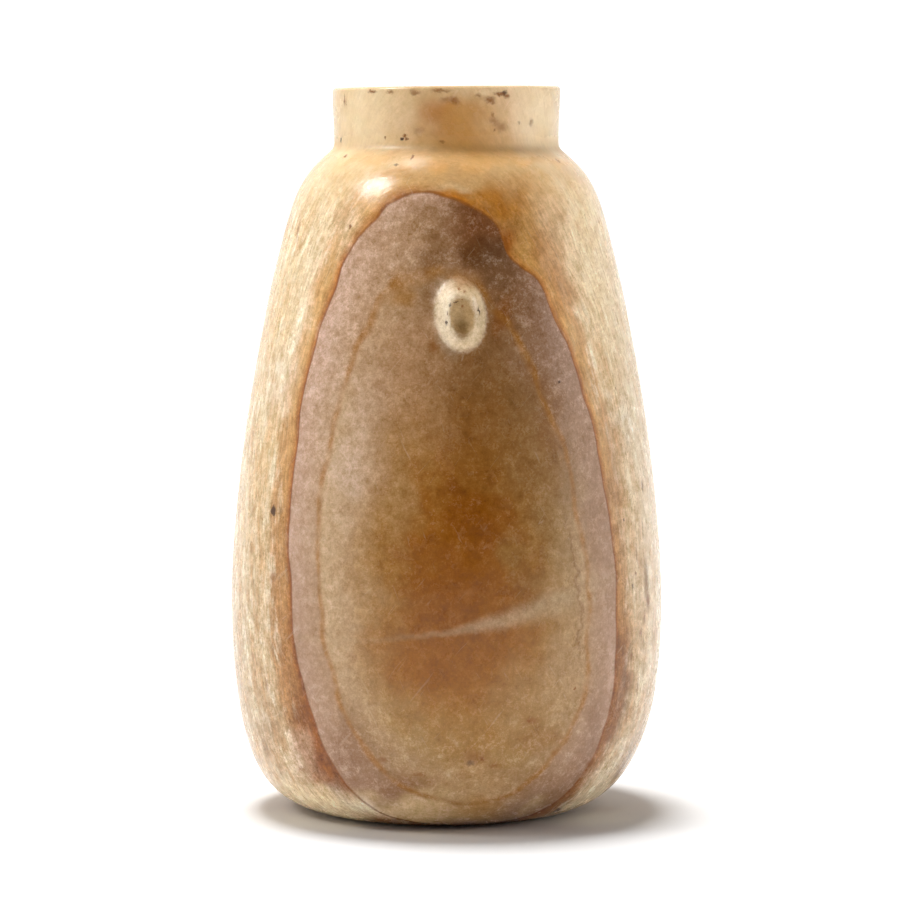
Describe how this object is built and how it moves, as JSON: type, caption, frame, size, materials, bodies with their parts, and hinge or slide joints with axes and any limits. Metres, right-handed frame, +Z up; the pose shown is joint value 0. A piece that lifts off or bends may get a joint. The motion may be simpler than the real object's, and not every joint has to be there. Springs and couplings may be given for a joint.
{
  "type": "alabastron",
  "caption": "Ovoid flask of banded calcite with a flat base, a short wide neck, an open mouth and small dished lugs on its shoulders.",
  "frame": {"origin": "centre of the flat base, on the surface that it stands on", "axes": "+Z up along the turning axis to the mouth; -Y is the front, where the worn lug is; +Y is the back lug"},
  "size_m": [0.1494, 0.1494, 0.25],
  "materials": {
    "calcite": "satin"
  },
  "bodies": {
    "root": {"vessel": "calcite"}
  },
  "joints": []
}
